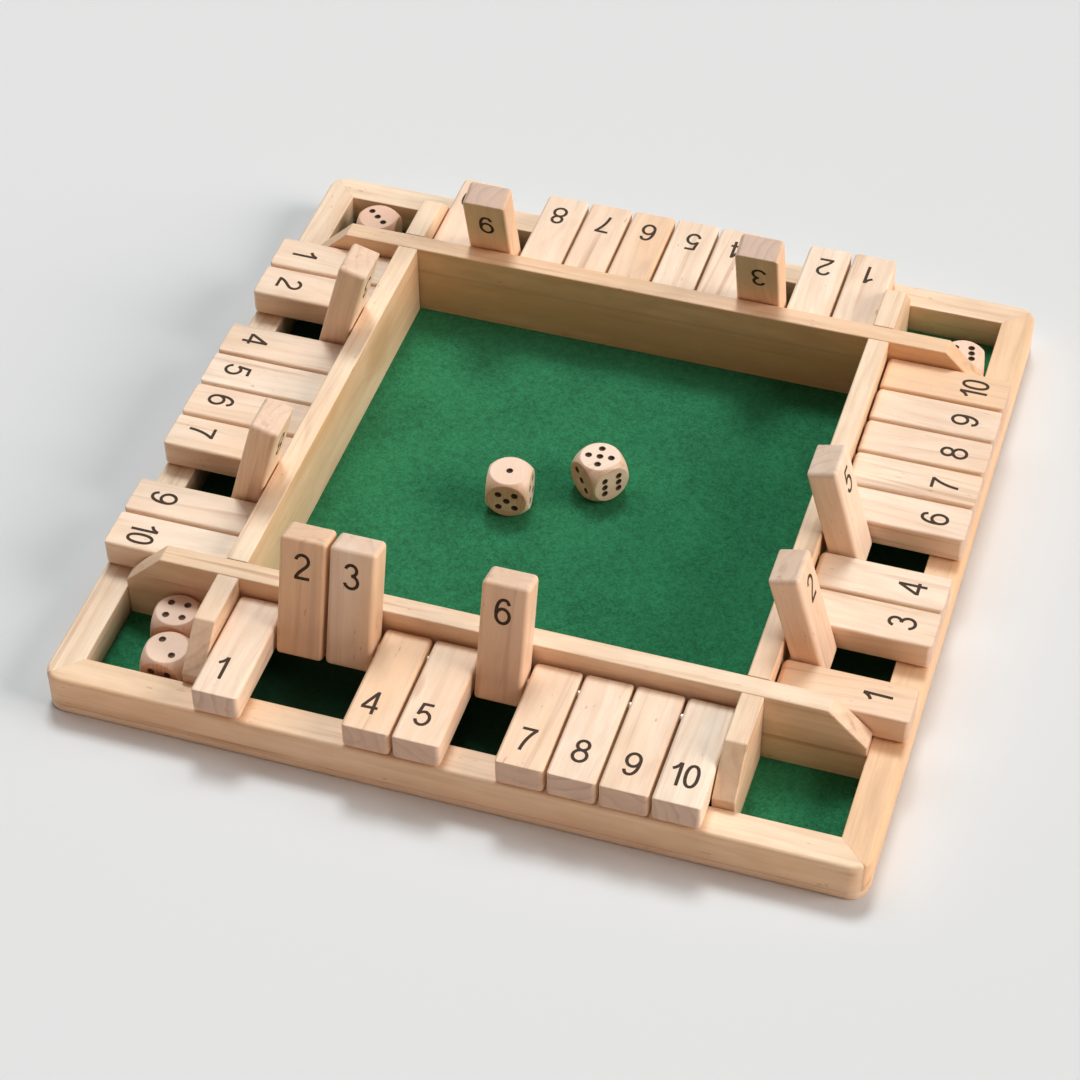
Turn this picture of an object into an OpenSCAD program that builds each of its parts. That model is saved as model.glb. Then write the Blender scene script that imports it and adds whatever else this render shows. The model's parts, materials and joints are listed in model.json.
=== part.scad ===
// Shut the box game for four players: a square wooden tray with a row of
// ten hinged number tiles on each side and a dice pocket in each corner.
// Origin at the centre of the underside, +Z up, front row on the -Y side.

/* [Frame] */
// Outside length of each side
game_w = 290; // [282:1:320]
// Clear width of the felt tray between the inner boards
tray_w = 178.5; // [170:0.5:184]
// Thickness of the base board
base_t = 3; // [2:0.5:6]
// Thickness of the felt
felt_t = 1; // [0.5:0.1:2]
// Width of the outer rails
rail_w = 12; // [8:0.5:16]
// Height of the outer rails above the base board
rail_h = 13; // [11:0.5:18]
// Radius of the upright outer corners
corner_r = 7; // [3:0.5:10]
// Radius of the eased top edge around the outside
rail_ease = 1.5; // [0.5:0.1:2.5]

/* [Inner boards] */
// Thickness of the inner boards and the pocket dividers
wall_t = 8; // [7:0.5:10]
// Height of the inner boards and dividers above the felt
wall_h = 29.7; // [26:0.1:36]
// Length of the sloping cut at each free end, at 45 degrees
end_cut = 14; // [6:0.5:16]
// Radius of the eased long edges on top of the inner boards
wall_ease = 0.6; // [0.2:0.1:1.2]

/* [Tiles] */
// Thickness of a number tile
tile_t = 10.8; // [9.5:0.1:12]
// Gap between neighbouring tiles and beside the last ones
tile_gap = 1; // [0.6:0.1:2]
// Gap between a lying tile's hinged end and the inner board
heel_gap = 0.6; // [0.5:0.1:1.2]
// Distance of a lying tile's free end inside the rail's outer face
toe_inset = 0.35; // [0:0.05:3]
// Radius of the tile's long edges
tile_ease = 1.2; // [0.4:0.1:2]
// Radius of the hinged end's upper edge, which swings past the board
heel_r = 2; // [1.8:0.1:2.5]
// Radius of the tile's upright corners, seen from above
plan_r = 1.5; // [0.5:0.1:2.5]
// Air under a lying tile's free end and behind a standing tile
stop_gap = 0.25; // [0.1:0.05:0.4]

/* [Hinges] */
// Diameter of the steel hinge rods
rod_d = 3; // [2:0.1:3.4]
// Radial clearance of a rod in its holes
rod_fit = 0.05; // [0.02:0.01:0.1]
// Distance from a tile's upper face down to its hinge rod
rod_drop = 4.1; // [3.8:0.1:4.6]
// Distance from the inner board's face to the hinge rod
rod_back = 7.5; // [7.3:0.1:8.5]
// Depth of the blind holes that hold the rod ends
rod_seat = 5; // [3:0.5:6]
// Air between a rod's end and the bottom of its hole
rod_end_gap = 0.2; // [0.1:0.1:0.5]

/* [Dice] */
// Width of a die across its flat faces
die_w = 16; // [12:0.5:17]
// Diameter of the ball that rounds a die's corners, as a multiple of its width
die_ball = 1.35; // [1.3:0.01:1.5]
// Diameter of a drilled pip
pip_d = 2.4; // [1.5:0.1:3]
// Depth of a drilled pip
pip_depth = 0.9; // [0.4:0.1:1.5]
// Distance of a pip from the middle of its face
pip_pitch = 3; // [2:0.1:3.6]
// Air between a resting die and the felt
die_gap = 0.1; // [0.05:0.05:0.3]

/* [Hidden] */
$fn = 64;
TILES = 10;
SIDES = ["front", "right", "back", "left"];
// Tiles 1 to 10 of each side in the order of SIDES: | stands, - lies
ROWS = ["-||--|----", "-|--|-----", "--|-----|-", "--|----|--"];
// Each die: its compartment by column and row, -1 to 1; its half of a shared pocket, or 0;
// its place there as a share of the free play, -1 to 1; its turn; pips on top, front, right
DICE = [
    [[0, 0], 0, [-0.266, -0.065], 8, 1, 5, 4],
    [[0, 0], 0, [0.101, 0.15], -40, 5, 3, 6],
    [[-1, -1], -1, [0.876, 1], -1, 2, 4, 6],
    [[-1, -1], 1, [0.52, 0.543], 3, 4, 1, 5],
    [[-1, 1], 0, [-0.236, 0.475], 5, 3, 1, 2],
    [[1, 1], 0, [0.95, -0.956], 11, 6, 4, 5],
];

WOOD = "burlywood";
PALE_WOOD = "wheat";
FELT = "seagreen";
STEEL = "silver";

half_w = game_w / 2;
pocket_w = half_w - rail_w;
wall_in = tray_w / 2;
wall_out = wall_in + wall_t;
felt_top = base_t + felt_t;
rail_top = base_t + rail_h;
wall_top = felt_top + wall_h;
felt_gap = 0.3;

tile_pitch = tray_w / TILES;
tile_w = tile_pitch - tile_gap;
tile_l = half_w - toe_inset - wall_out - heel_gap;
bore_r = rod_d / 2 + rod_fit;
// The hinge axis of the front row lies along X at this distance and height
hinge_y = wall_out + rod_back;
hinge_z = rail_top + stop_gap + tile_t - rod_drop;
heel = rod_back - heel_gap;
rod_l = tray_w + 2 * (rod_seat - rod_end_gap);
// A standing tile leans on the inner board's upper edge, past upright
edge_up = wall_top - hinge_z;
edge_reach = norm([rod_back, edge_up]);
lean = acos((rod_drop + stop_gap) / edge_reach) - atan2(edge_up, rod_back);
stand = 90 + lean;

// Middle and clear width of a compartment's column or row
function mid(c) = c * (wall_out + pocket_w) / 2;
function room(c) = c == 0 ? tray_w : pocket_w - wall_out;
// Half the width that a turned die takes up
function die_reach(turn) = die_w / 2 * (cos(turn) + abs(sin(turn)));
// Two dice lie side by side in a pocket with room for both, and otherwise on each other
side_by_side = room(1) / 4 >= max([for (d = DICE) if (d[1] != 0) die_reach(d[3])]);

cut = 1;

// A square with its upright corners rounded
module rounded_square(side, r) {
    half = side / 2 - r;
    square([side, 2 * half], center = true);
    square([2 * half, side], center = true);
    for (x = [-half, half], y = [-half, half]) translate([x, y]) circle(r);
}

// Half of a rail's outline in section: plain below, eased at the top outer edge
module eased_profile(reach, h, r) {
    square([reach - r, h]);
    square([reach, h - r]);
    translate([reach - r, h - r]) circle(r);
}

// A rounded square block whose top edge is eased all the way round
module eased_block(side, h, r, ease) {
    half = side / 2;
    flat = side - 2 * r;
    for (turn = [0:90:270]) rotate(turn) {
        rotate([90, 0, 0]) translate([0, 0, -flat / 2]) linear_extrude(flat)
            eased_profile(half, h, ease);
        translate([half - r, half - r, 0]) rotate_extrude() eased_profile(r, h, ease);
    }
}

// A board on edge along X: its end outline has two eased top edges
module board(l, h) {
    half = wall_t / 2;
    rotate([90, 0, 90]) translate([0, 0, -l / 2]) linear_extrude(l) {
        translate([-half, 0]) square([wall_t, h - wall_ease]);
        translate([wall_ease - half, 0]) square([wall_t - 2 * wall_ease, h]);
        for (x = [wall_ease - half, half - wall_ease])
            translate([x, h - wall_ease]) circle(wall_ease);
    }
}

// What a 45 degree cut takes off the +X end of a board of half length reach
module slope_cut(reach, h) {
    rotate([90, 0, 0]) translate([0, 0, -wall_t]) linear_extrude(2 * wall_t)
        polygon([[reach - end_cut, h], [reach, h - end_cut], [reach + cut, h - end_cut],
                 [reach + cut, h + cut], [reach - end_cut, h + cut]]);
}

module base_board() {
    color(WOOD) linear_extrude(base_t) rounded_square(game_w, corner_r);
}

module felt_mat() {
    w = 2 * (pocket_w - felt_gap);
    color(FELT) translate([-w / 2, -w / 2, base_t]) cube([w, w, felt_t]);
}

// One mitred side of the outer frame; turn 0 is the front
module rail(turn) {
    color(PALE_WOOD) translate([0, 0, base_t]) intersection() {
        difference() {
            eased_block(game_w, rail_h, corner_r, rail_ease);
            translate([-pocket_w, -pocket_w, -cut])
                cube([2 * pocket_w, 2 * pocket_w, rail_h + 2 * cut]);
        }
        rotate(turn) linear_extrude(rail_h)
            polygon([[0, 0], [-half_w, -half_w], [half_w, -half_w]]);
    }
}

// The blind hole for the +X end of a rod along X
module rod_hole() {
    rotate([0, 90, 0]) translate([0, 0, wall_in - cut]) cylinder(h = rod_seat + cut, r = bore_r);
}

// A long inner board from rail to rail, with the side rows' rod holes; front for turn 0
module long_board(turn) {
    color(PALE_WOOD) rotate(turn) difference() {
        translate([0, -wall_in - wall_t / 2, felt_top]) difference() {
            board(2 * pocket_w, wall_h);
            for (side = [0, 1]) mirror([side, 0, 0]) slope_cut(pocket_w, wall_h);
        }
        for (x = [-hinge_y, hinge_y]) translate([x, 0, hinge_z]) rotate(-90) rod_hole();
    }
}

// A short inner board between the two long ones; turn 90 is the right side
module short_board(turn) {
    color(PALE_WOOD) rotate(turn) translate([0, -wall_in - wall_t / 2, felt_top])
        board(tray_w, wall_h);
}

// The divider between the front row and the front right pocket
module divider() {
    l = pocket_w - wall_out;
    difference() {
        translate([wall_in + wall_t / 2, -wall_out - l / 2, felt_top]) rotate(-90) difference() {
            board(l, wall_h);
            slope_cut(l / 2, wall_h);
        }
        translate([0, -hinge_y, hinge_z]) rod_hole();
    }
}

module pocket_dividers() {
    color(PALE_WOOD) for (turn = [0, 180], side = [0, 1])
        rotate(turn) mirror([side, 0, 0]) divider();
}

module hinge_rods() {
    color(STEEL) for (turn = [0:90:270]) rotate(turn)
        translate([-rod_l / 2, -hinge_y, hinge_z]) rotate([0, 90, 0])
            cylinder(h = rod_l, r = rod_d / 2);
}

// A tile lying along -Y, about its own hinge axis, with the number side up
module tile_blank() {
    top = rod_drop;
    toe = heel - tile_l;
    intersection() {
        // Section across the tile, with four eased long edges
        rotate([90, 0, 0]) translate([0, 0, -heel - cut]) linear_extrude(tile_l + 2 * cut)
            translate([0, top - tile_t / 2]) eased_rectangle(tile_w, tile_t, tile_ease);
        // Plan, with rounded upright corners
        translate([0, 0, top - tile_t - cut]) linear_extrude(tile_t + 2 * cut)
            translate([0, toe + tile_l / 2]) eased_rectangle(tile_w, tile_l, plan_r);
        // Side outline, with the upper edge of the hinged end rounded
        rotate([90, 0, 90]) translate([0, 0, -tile_pitch / 2]) linear_extrude(tile_pitch) {
            translate([toe, top - tile_t]) square([tile_l, tile_t - heel_r]);
            translate([toe, top - tile_t]) square([tile_l - heel_r, tile_t]);
            translate([heel - heel_r, top - heel_r]) circle(heel_r);
        }
    }
}

// A rectangle with rounded corners
module eased_rectangle(w, h, r) {
    square([w - 2 * r, h], center = true);
    square([w, h - 2 * r], center = true);
    for (x = [r - w / 2, w / 2 - r], y = [r - h / 2, h / 2 - r]) translate([x, y]) circle(r);
}

// Tile n of a side: it lies over the rail, or stands against the inner board
module tile(side, n) {
    stands = ROWS[side][n - 1] == "|";
    color(PALE_WOOD) rotate(90 * side)
        translate([(n - (TILES + 1) / 2) * tile_pitch, -hinge_y, hinge_z])
            rotate([stands ? -stand : 0, 0, 0]) difference() {
                tile_blank();
                rotate([0, 90, 0]) cylinder(h = tile_pitch, r = bore_r, center = true);
            }
}

// Places of the pips of one face, seen from outside, in pip pitches
function pips(n) = concat(
    n % 2 == 1 ? [[0, 0]] : [],
    n > 1 ? [[-1, 1], [1, -1]] : [],
    n > 3 ? [[1, 1], [-1, -1]] : [],
    n == 6 ? [[-1, 0], [1, 0]] : []);

// The drilled pips of the face that looks up
module face_pips(n) {
    for (p = pips(n)) translate([pip_pitch * p[0], pip_pitch * p[1], die_w / 2 - pip_depth])
        cylinder(h = pip_depth + cut, d = pip_d);
}

// Die number i; opposite faces add up to seven
module die(i) {
    spec = DICE[i - 1];
    cell = spec[0];
    half = side_by_side ? spec[1] : 0;
    turn = spec[3];
    top = spec[4];
    front = spec[5];
    right = spec[6];
    free_x = room(cell.x) / 2 - die_reach(turn);
    free_y = room(cell.y) / (half == 0 ? 2 : 4) - die_reach(turn);
    x = mid(cell.x) + spec[2].x * free_x;
    y = mid(cell.y) + half * room(cell.y) / 4 + spec[2].y * free_y;
    level = spec[1] > 0 && half == 0 ? 1 : 0;
    color(WOOD)
        translate([x, y, felt_top + die_gap + die_w / 2 + level * (die_w + die_gap)]) rotate(turn)
        difference() {
            intersection() {
                cube(die_w, center = true);
                sphere(d = die_w * die_ball);
            }
            face_pips(top);
            rotate([180, 0, 0]) face_pips(7 - top);
            rotate([90, 0, 0]) face_pips(front);
            rotate([90, 0, 180]) face_pips(7 - front);
            rotate([90, 0, 90]) face_pips(right);
            rotate([90, 0, 270]) face_pips(7 - right);
        }
}

base_board();
felt_mat();
rail(0);  // front_rail
rail(90);  // right_rail
rail(180);  // back_rail
rail(270);  // left_rail
long_board(0);  // front_inner_board
long_board(180);  // back_inner_board
short_board(270);  // left_inner_board
short_board(90);  // right_inner_board
pocket_dividers();
hinge_rods();
for (side = [0:3], n = [1:TILES])
    tile(side, n);
for (i = [1:len(DICE)])
    die(i);
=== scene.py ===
"""Looks for the four-player shut the box game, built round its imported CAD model.

Lengths are in metres in the CAD model's frame: +Z up, the front row of tiles on the -Y side.
"""
import json
import math
import random

import bmesh
import bpy
import numpy as np
from mathutils import Matrix, Vector

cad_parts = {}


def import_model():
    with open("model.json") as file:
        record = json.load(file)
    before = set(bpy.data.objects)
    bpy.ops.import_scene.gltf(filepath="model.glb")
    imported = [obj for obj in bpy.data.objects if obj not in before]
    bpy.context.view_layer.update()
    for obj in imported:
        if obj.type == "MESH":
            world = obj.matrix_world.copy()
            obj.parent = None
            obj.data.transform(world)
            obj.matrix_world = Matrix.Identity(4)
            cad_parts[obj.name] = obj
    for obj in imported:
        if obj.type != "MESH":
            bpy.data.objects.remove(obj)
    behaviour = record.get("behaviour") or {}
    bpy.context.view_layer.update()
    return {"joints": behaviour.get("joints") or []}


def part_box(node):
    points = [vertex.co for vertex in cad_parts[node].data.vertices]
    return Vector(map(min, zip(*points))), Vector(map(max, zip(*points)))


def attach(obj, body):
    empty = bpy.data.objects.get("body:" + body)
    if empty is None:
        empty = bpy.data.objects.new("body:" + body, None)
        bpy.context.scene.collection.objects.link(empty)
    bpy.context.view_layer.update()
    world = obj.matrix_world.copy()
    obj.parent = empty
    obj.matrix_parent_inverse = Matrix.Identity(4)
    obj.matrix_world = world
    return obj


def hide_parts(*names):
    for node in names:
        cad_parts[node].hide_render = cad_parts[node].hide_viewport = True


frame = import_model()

MM = 0.001
# Less than this counts as nothing
TINY = 1e-9
SIDES = ("front", "right", "back", "left")
TILES = 10
JOINTS = {j["child"]: j for j in frame["joints"]}


def size_of(node):
    low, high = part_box(node)
    return high - low


# ---------------------------------------------------------------- sizes read from the frame
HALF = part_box("base_board")[1].x
BASE_T = size_of("base_board").z
RAIL_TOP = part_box("front_rail")[1].z
FELT_LOW, FELT_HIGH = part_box("felt_mat")
FELT_TOP = FELT_HIGH.z
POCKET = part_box("front_inner_board")[1].x
RAIL_W = HALF - POCKET
WALL_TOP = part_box("front_inner_board")[1].z
WALL_IN = -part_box("front_inner_board")[1].y
WALL_OUT = -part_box("front_inner_board")[0].y
WALL_T = WALL_OUT - WALL_IN
HINGE = Vector(JOINTS["front_tile_1"]["pos_m"])
TILE_W = size_of("front_tile_1").x
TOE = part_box("front_tile_1")[0].y - HINGE.y
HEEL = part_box("front_tile_1")[1].y - HINGE.y
TILE_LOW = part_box("front_tile_1")[0].z - HINGE.z
TILE_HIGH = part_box("front_tile_1")[1].z - HINGE.z
# Sizes of part.scad that the frame doesn't give; STAND is a standing tile's turn in degrees
STAND = 105.52
ROD_R = 1.5 * MM
BORE_R = 1.55 * MM
ROD_SEAT = 5 * MM
ROD_END_GAP = 0.2 * MM
CORNER_R = 7 * MM
END_CUT = 14 * MM
# How far edges are eased, and how finely round things are divided
BASE_EASE = 0.35 * MM
RAIL_EASE, RAIL_FOOT_EASE, RAIL_INNER_EASE = 1.5 * MM, 0.3 * MM, 0.4 * MM
BOARD_EASE = 0.6 * MM
TILE_EASE = 2 * MM
ROD_EASE = 0.25 * MM
DIE_EASE = 0.3 * MM
BORE_SIDES, ROD_SIDES, PIP_SIDES = 48, 32, 24
# Where each kind of piece starts its random draws
BASE_SEED, FELT_SEED, RAIL_SEED, BOARD_SEED, DIVIDER_SEED, DIE_SEED = 3, 7, 11, 31, 41, 900
NUMBER_SEED = 7000


# ---------------------------------------------------------------- shader nodes
def wire(tree, node, inputs):
    """Sets or links a node's inputs; each is named by its socket's name or number."""
    for key, value in inputs.items():
        if isinstance(value, bpy.types.NodeSocket):
            tree.links.new(value, node.inputs[key])
        else:
            node.inputs[key].default_value = value


def add(tree, kind, inputs=None, **props):
    """A new node, with its inputs and its other settings."""
    node = tree.nodes.new(kind)
    for key, value in props.items():
        setattr(node, key, value)
    wire(tree, node, inputs or {})
    return node


def calc(tree, operation, a, b=0.0, clamp=False):
    return add(tree, "ShaderNodeMath", {0: a, 1: b}, operation=operation,
               use_clamp=clamp).outputs[0]


def plus(tree, a, b, clamp=False):
    return calc(tree, "ADD", a, b, clamp)


def times(tree, a, b, clamp=False):
    return calc(tree, "MULTIPLY", a, b, clamp)


def stretched(tree, vector, factors):
    return add(tree, "ShaderNodeVectorMath", {0: vector, 1: factors},
               operation="MULTIPLY").outputs[0]


def length_of(tree, vector):
    return add(tree, "ShaderNodeVectorMath", {0: vector}, operation="LENGTH").outputs["Value"]


def attribute(tree, name, output="Fac"):
    return add(tree, "ShaderNodeAttribute", attribute_name=name).outputs[output]


def noise(tree, vector, along, across, detail=2, roughness=0.5):
    """Noise about 0.5, with so many cells per metre along X and across it."""
    where = stretched(tree, vector, (along, across, across))
    made = add(tree, "ShaderNodeTexNoise",
               {"Vector": where, "Scale": 1.0, "Detail": detail, "Roughness": roughness})
    return made.outputs[0]


def spread(tree, value, low, high, to_low=0.0, to_high=1.0):
    return add(tree, "ShaderNodeMapRange",
               {"Value": value, "From Min": low, "From Max": high, "To Min": to_low,
                "To Max": to_high}).outputs[0]


def blend_colour(tree, factor, a, b):
    return add(tree, "ShaderNodeMix", {0: factor, 6: a, 7: b}, data_type="RGBA").outputs[2]


def curve_of(tree, value, stops):
    """A smooth ramp of grey levels through stops of (place, level)."""
    ramp = add(tree, "ShaderNodeValToRGB", {"Fac": value})
    ramp.color_ramp.interpolation = "EASE"
    points = ramp.color_ramp.elements
    while len(points) < len(stops):
        points.new(0.5)
    for point, (place, level) in zip(points, stops):
        point.position = place
        point.color = (level, level, level, 1)
    return ramp.outputs[0]


def material(name):
    made = bpy.data.materials.new(name)
    made.use_nodes = True
    return made, made.node_tree, made.node_tree.nodes["Principled BSDF"]


def bump(tree, height, strength, distance):
    return add(tree, "ShaderNodeBump",
               {"Height": height, "Strength": strength, "Distance": distance}).outputs[0]


def rgb(r, g, b):
    return (r, g, b, 1.0)


def scaled(colour, factors):
    return rgb(*(c * k for c, k in zip(colour, factors)))


def wood(name, light, dark, honey, blush, ring_gap, ring, streak, fleck=0.6,
         end_dark=0.62, end_tint=(0.78, 0.84, 1.04), rough=(0.42, 0.58)):
    """Sawn wood that runs through the solid: rings, bands, fibres, flecks and knots.

    Reads what Plank.cut stores: the place in the plank with the grain along X, how far the face
    is end grain, how warm the plank is with painted shade and light added on some pieces, and the
    place about its knot, figure or painted shade patch, 1 at its rim.
    ring, streak, fleck and end_dark say how dark those are. end_tint colours the end grain.
    """
    made, tree, bsdf = material(name)
    grain = attribute(tree, "grain", "Vector")

    def grained(along, across, detail=2, roughness=0.5):
        return noise(tree, grain, along, across, detail, roughness)

    # Year rings about a pith line along X, bent by slow noise and round the mark
    bend_by_noise, bend_by_mark = 22 * MM, 3 * MM
    rim = plus(tree, length_of(tree, attribute(tree, "mark_and_painted_shade", "Vector")),
               spread(tree, grained(45, 160, detail=3), 0.3, 0.7, -0.3, 0.3))
    figure_and_painted_shade = spread(tree, rim, 1.25, 0.45)
    radius = length_of(tree, stretched(tree, grain, (0, 1, 1)))
    bent = plus(tree, radius, times(tree, grained(9, 42), bend_by_noise))
    bent = plus(tree, bent, times(tree, figure_and_painted_shade, bend_by_mark))
    phase = calc(tree, "FRACT", calc(tree, "DIVIDE", bent, ring_gap))
    late = curve_of(tree, phase, ((0.0, 0.0), (0.5, 0.22), (0.84, 1.0), (1.0, 0.0)))
    late = times(tree, late, spread(tree, grained(13, 110), 0.32, 0.68, 0.15, 1.0))
    # Bands and fibres along the grain, and a slight mottle
    bands = spread(tree, grained(7, 170, detail=4, roughness=0.62), 0.34, 0.68)
    fibres = grained(60, 2400)
    depth = plus(tree, times(tree, late, ring), times(tree, bands, streak))
    depth = plus(tree, depth, spread(tree, grained(70, 190, detail=3), 0.35, 0.65, -0.10, 0.10))
    depth = plus(tree, depth, spread(tree, fibres, 0.35, 0.65, -0.07, 0.07), clamp=True)
    # Honey and pinkish parts of the plank under the grain, with the painted shade and painted light
    # that the stored tone adds on some pieces
    warmth_and_painted_shade = times(tree, spread(tree, grained(9, 30), 0.46, 0.68), 0.55)
    warmth_and_painted_shade = plus(tree, warmth_and_painted_shade, attribute(tree, "tone_and_painted_shade"), clamp=True)
    pale = blend_colour(tree, warmth_and_painted_shade, rgb(*light), rgb(*honey))
    pink = times(tree, spread(tree, grained(7, 42, detail=1), 0.44, 0.66), 0.45)
    pale = blend_colour(tree, pink, pale, rgb(*blush))
    colour = blend_colour(tree, depth, pale, rgb(*dark))
    # A few long brown streaks, short flecks, and the knot or figure, which on some pieces is
    # painted shade instead
    lines = spread(tree, grained(4, 200, detail=3, roughness=0.55), 0.61, 0.72)
    spots = spread(tree, grained(230, 900, detail=1), 0.70, 0.76)
    spots = times(tree, spots, spread(tree, grained(60, 90, detail=0), 0.54, 0.66))
    stain = plus(tree, times(tree, lines, 0.6), times(tree, spots, fleck), clamp=True)
    colour = blend_colour(tree, stain, colour, scaled(dark, (0.72, 0.58, 0.46)))
    colour = blend_colour(tree, times(tree, figure_and_painted_shade, 0.75), colour, rgb(*dark))
    # End grain drinks in more lacquer, and its rings show a little
    ends = times(tree, attribute(tree, "end"),
                 plus(tree, times(tree, late, 0.35), end_dark), clamp=True)
    colour = blend_colour(tree, ends, colour, scaled(dark, end_tint))
    relief = plus(tree, times(tree, fibres, 0.7), times(tree, late, 0.5))
    relief = calc(tree, "SUBTRACT", relief, spots)
    wire(tree, bsdf, {"Base Color": colour, "Normal": bump(tree, relief, 0.22, 0.12 * MM),
                      "Roughness": spread(tree, fibres, 0.3, 0.7, *rough)})
    return made


def ink(name, dark, pale):
    """A stain, worn to its paler colour in places."""
    made, tree, bsdf = material(name)
    where = add(tree, "ShaderNodeTexCoord").outputs["Object"]
    worn = spread(tree, noise(tree, where, 900, 900, detail=4), 0.42, 0.72)
    wire(tree, bsdf, {
        "Base Color": blend_colour(tree, times(tree, worn, 0.5), rgb(*dark), rgb(*pale)),
        "Specular IOR Level": 0.2, "Roughness": spread(tree, worn, 0, 1, 0.55, 0.8),
        "Normal": bump(tree, worn, 0.2, 0.03 * MM)})
    return made


def steel(name, dull, bright):
    """Drawn steel with fine lines along it."""
    made, tree, bsdf = material(name)
    where = attribute(tree, "grain", "Vector")
    lines = noise(tree, where, 120, 5200, detail=3)
    cloud = spread(tree, noise(tree, where, 90, 300, detail=3), 0.35, 0.65)
    wire(tree, bsdf, {
        "Base Color": blend_colour(tree, cloud, rgb(*dull), rgb(*bright)), "Metallic": 1.0,
        "Roughness": spread(tree, lines, 0.3, 0.7, 0.24, 0.42),
        "Normal": bump(tree, lines, 0.15, 0.02 * MM)})
    return made


def felt_cloth(name, dark, light, painted_shade_colour, sheen):
    """Short pressed fibres: fine tufts, darker pits and slow patches of tone, and painted shade
    where the shade attribute says.
    """
    made, tree, bsdf = material(name)
    where = add(tree, "ShaderNodeTexCoord").outputs["Object"]
    tufts = noise(tree, where, 1150, 1150, detail=4, roughness=0.7)
    clumps = noise(tree, where, 420, 420, detail=3, roughness=0.6)
    patches = noise(tree, where, 34, 34)
    shade = plus(tree, times(tree, tufts, 0.58), times(tree, clumps, 0.26))
    shade = plus(tree, shade, times(tree, patches, 0.16))
    colour = blend_colour(tree, spread(tree, shade, 0.38, 0.62), rgb(*dark), rgb(*light))
    # Painted shade: towards near black where the shade attribute says, under the rows of tiles
    colour = blend_colour(tree, attribute(tree, "shade"), colour, rgb(*painted_shade_colour))
    wire(tree, bsdf, {
        "Base Color": colour, "Sheen Weight": 0.25, "Sheen Roughness": 0.6,
        "Sheen Tint": rgb(*sheen), "Specular IOR Level": 0.15,
        "Roughness": spread(tree, tufts, 0.3, 0.7, 0.88, 1.0),
        "Normal": bump(tree, shade, 0.9, 0.5 * MM)})
    return made


FRAME_WOOD = wood("rail_and_board_wood", light=(0.96, 0.78, 0.585), dark=(0.66, 0.40, 0.22),
                  honey=(0.90, 0.57, 0.32), blush=(0.89, 0.63, 0.46),
                  ring_gap=5.5 * MM, ring=0.30, streak=0.45)
TILE_WOOD = wood("tile_wood", light=(0.96, 0.80, 0.64), dark=(0.70, 0.455, 0.30),
                 honey=(0.91, 0.595, 0.36), blush=(0.91, 0.68, 0.53),
                 ring_gap=4.6 * MM, ring=0.30, streak=0.38)
BASE_WOOD = wood("base_wood", light=(0.94, 0.77, 0.595), dark=(0.70, 0.47, 0.29),
                 honey=(0.90, 0.64, 0.41), blush=(0.90, 0.68, 0.52),
                 ring_gap=6.5 * MM, ring=0.3, streak=0.3)
DIE_WOOD = wood("die_wood", light=(0.94, 0.77, 0.62), dark=(0.76, 0.50, 0.34),
                honey=(0.85, 0.51, 0.35), blush=(0.90, 0.63, 0.50),
                ring_gap=1.6 * MM, ring=0.16, streak=0.26, fleck=0.3,
                end_dark=0.50, end_tint=(0.86, 0.56, 0.45), rough=(0.34, 0.46))
NUMBER_INK = ink("number_ink", dark=(0.030, 0.013, 0.005), pale=(0.125, 0.070, 0.032))
PIP_INK = ink("pip_stain", dark=(0.034, 0.017, 0.009), pale=(0.17, 0.10, 0.065))
FADED_INK = ink("pip_stain_faded", dark=(0.12, 0.065, 0.040), pale=(0.34, 0.21, 0.14))
ROD_STEEL = steel("rod_steel", dull=(0.60, 0.60, 0.61), bright=(0.74, 0.73, 0.72))
FELT = felt_cloth("green_felt", dark=(0.004, 0.080, 0.030), light=(0.025, 0.236, 0.102),
                  painted_shade_colour=(0.003, 0.020, 0.010), sheen=(0.35, 0.9, 0.5))


# ---------------------------------------------------------------- meshes
def mesh_of(verts, faces):
    made = bpy.data.meshes.new("shape")
    made.from_pydata([tuple(v) for v in verts], [], faces)
    made.update()
    return made


def evaluated(mesh, setup):
    """A new mesh: the given one after the modifiers that setup adds to its object."""
    obj = bpy.data.objects.new("workpiece", mesh)
    bpy.context.scene.collection.objects.link(obj)
    setup(obj)
    graph = bpy.context.evaluated_depsgraph_get()
    graph.update()
    made = bpy.data.meshes.new_from_object(obj.evaluated_get(graph))
    bpy.data.objects.remove(obj)
    return made


def boolean(mesh, cutter, operation):
    other = bpy.data.objects.new("cutter", cutter)
    bpy.context.scene.collection.objects.link(other)

    def setup(obj):
        cut = obj.modifiers.new("cut", "BOOLEAN")
        cut.operation, cut.solver, cut.object = operation, "EXACT", other

    made = evaluated(mesh, setup)
    bpy.data.objects.remove(other)
    return made


# An edge runs along an axis if its direction has more than this along it
ALONG = 0.9


def bevelled(mesh, width, segments, weight_of):
    """Rounds edges: weight_of(edge's middle, edge's direction) gives each one's share of width."""
    layer = mesh.attributes.new("bevel_weight_edge", "FLOAT", "EDGE")
    for edge in mesh.edges:
        a, b = (mesh.vertices[i].co for i in edge.vertices)
        layer.data[edge.index].value = weight_of((a + b) / 2, (b - a).normalized())

    def setup(obj):
        bevel = obj.modifiers.new("bevel", "BEVEL")
        bevel.width, bevel.segments, bevel.limit_method = width, segments, "WEIGHT"
        bevel.use_clamp_overlap = False

    return evaluated(mesh, setup)


def prism(outline, low, high, axis):
    """A closed prism: outline holds (u, v) pairs, counter-clockwise seen from +axis."""
    place = {"x": lambda u, v, w: (w, u, v), "y": lambda u, v, w: (v, w, u)}[axis]
    n = len(outline)
    verts = [place(u, v, w) for w in (low, high) for u, v in outline]
    faces = [tuple(reversed(range(n))), tuple(range(n, 2 * n))]
    faces += [(i, (i + 1) % n, n + (i + 1) % n, n + i) for i in range(n)]
    return mesh_of(verts, faces)


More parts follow.
